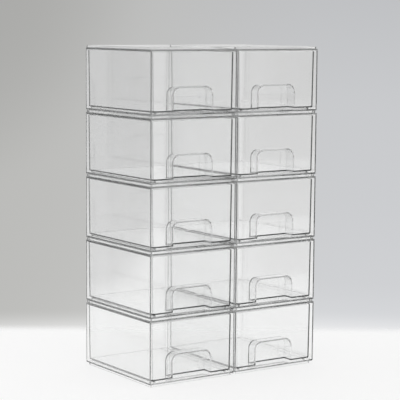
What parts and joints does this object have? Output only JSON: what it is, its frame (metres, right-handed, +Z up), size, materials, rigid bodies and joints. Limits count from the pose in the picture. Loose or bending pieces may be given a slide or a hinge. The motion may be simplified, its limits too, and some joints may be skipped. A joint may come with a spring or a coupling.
{
  "type": "stackable drawer boxes",
  "caption": "Clear stackable drawer boxes in two columns: open-fronted casings that stand on each other, each with a slide-out drawer with a recessed finger pull.",
  "frame": {"origin": "middle of the stack's base, on the surface that the ring feet stand on", "axes": "+X to the right along the fronts, +Y into the depth (the fronts face -Y), +Z up"},
  "size_m": [0.3408, 0.206, 0.5539],
  "materials": {
    "casing": "clear polished",
    "drawer": "clear polished"
  },
  "bodies": {
    "bottom_casings": {"left_casing_1": "casing", "right_casing_1": "casing"},
    "left_drawer_1": {"left_drawer_1": "drawer"},
    "left_casing_2": {"left_casing_2": "casing"},
    "left_drawer_2": {"left_drawer_2": "drawer"},
    "left_casing_3": {"left_casing_3": "casing"},
    "left_drawer_3": {"left_drawer_3": "drawer"},
    "left_casing_4": {"left_casing_4": "casing"},
    "left_drawer_4": {"left_drawer_4": "drawer"},
    "left_casing_5": {"left_casing_5": "casing"},
    "left_drawer_5": {"left_drawer_5": "drawer"},
    "right_drawer_1": {"right_drawer_1": "drawer"},
    "right_casing_2": {"right_casing_2": "casing"},
    "right_drawer_2": {"right_drawer_2": "drawer"},
    "right_casing_3": {"right_casing_3": "casing"},
    "right_drawer_3": {"right_drawer_3": "drawer"},
    "right_casing_4": {"right_casing_4": "casing"},
    "right_drawer_4": {"right_drawer_4": "drawer"},
    "right_casing_5": {"right_casing_5": "casing"},
    "right_drawer_5": {"right_drawer_5": "drawer"}
  },
  "joints": [
    {"name": "left_drawer_1_slide", "type": "slide", "parent": "bottom_casings", "child": "left_drawer_1", "axis": [0, -1, 0], "range_m": [0, 0.15]},
    {"name": "left_casing_2_lift", "type": "slide", "parent": "bottom_casings", "child": "left_casing_2", "axis": [0, 0, 1], "range_m": [0, 0.03]},
    {"name": "left_drawer_2_slide", "type": "slide", "parent": "left_casing_2", "child": "left_drawer_2", "axis": [0, -1, 0], "range_m": [0, 0.15]},
    {"name": "left_casing_3_lift", "type": "slide", "parent": "left_casing_2", "child": "left_casing_3", "axis": [0, 0, 1], "range_m": [0, 0.03]},
    {"name": "left_drawer_3_slide", "type": "slide", "parent": "left_casing_3", "child": "left_drawer_3", "axis": [0, -1, 0], "range_m": [0, 0.15]},
    {"name": "left_casing_4_lift", "type": "slide", "parent": "left_casing_3", "child": "left_casing_4", "axis": [0, 0, 1], "range_m": [0, 0.03]},
    {"name": "left_drawer_4_slide", "type": "slide", "parent": "left_casing_4", "child": "left_drawer_4", "axis": [0, -1, 0], "range_m": [0, 0.15]},
    {"name": "left_casing_5_lift", "type": "slide", "parent": "left_casing_4", "child": "left_casing_5", "axis": [0, 0, 1], "range_m": [0, 0.03]},
    {"name": "left_drawer_5_slide", "type": "slide", "parent": "left_casing_5", "child": "left_drawer_5", "axis": [0, -1, 0], "range_m": [0, 0.15]},
    {"name": "right_drawer_1_slide", "type": "slide", "parent": "bottom_casings", "child": "right_drawer_1", "axis": [0, -1, 0], "range_m": [0, 0.15]},
    {"name": "right_casing_2_lift", "type": "slide", "parent": "bottom_casings", "child": "right_casing_2", "axis": [0, 0, 1], "range_m": [0, 0.03]},
    {"name": "right_drawer_2_slide", "type": "slide", "parent": "right_casing_2", "child": "right_drawer_2", "axis": [0, -1, 0], "range_m": [0, 0.15]},
    {"name": "right_casing_3_lift", "type": "slide", "parent": "right_casing_2", "child": "right_casing_3", "axis": [0, 0, 1], "range_m": [0, 0.03]},
    {"name": "right_drawer_3_slide", "type": "slide", "parent": "right_casing_3", "child": "right_drawer_3", "axis": [0, -1, 0], "range_m": [0, 0.15]},
    {"name": "right_casing_4_lift", "type": "slide", "parent": "right_casing_3", "child": "right_casing_4", "axis": [0, 0, 1], "range_m": [0, 0.03]},
    {"name": "right_drawer_4_slide", "type": "slide", "parent": "right_casing_4", "child": "right_drawer_4", "axis": [0, -1, 0], "range_m": [0, 0.15]},
    {"name": "right_casing_5_lift", "type": "slide", "parent": "right_casing_4", "child": "right_casing_5", "axis": [0, 0, 1], "range_m": [0, 0.03]},
    {"name": "right_drawer_5_slide", "type": "slide", "parent": "right_casing_5", "child": "right_drawer_5", "axis": [0, -1, 0], "range_m": [0, 0.15]}
  ]
}
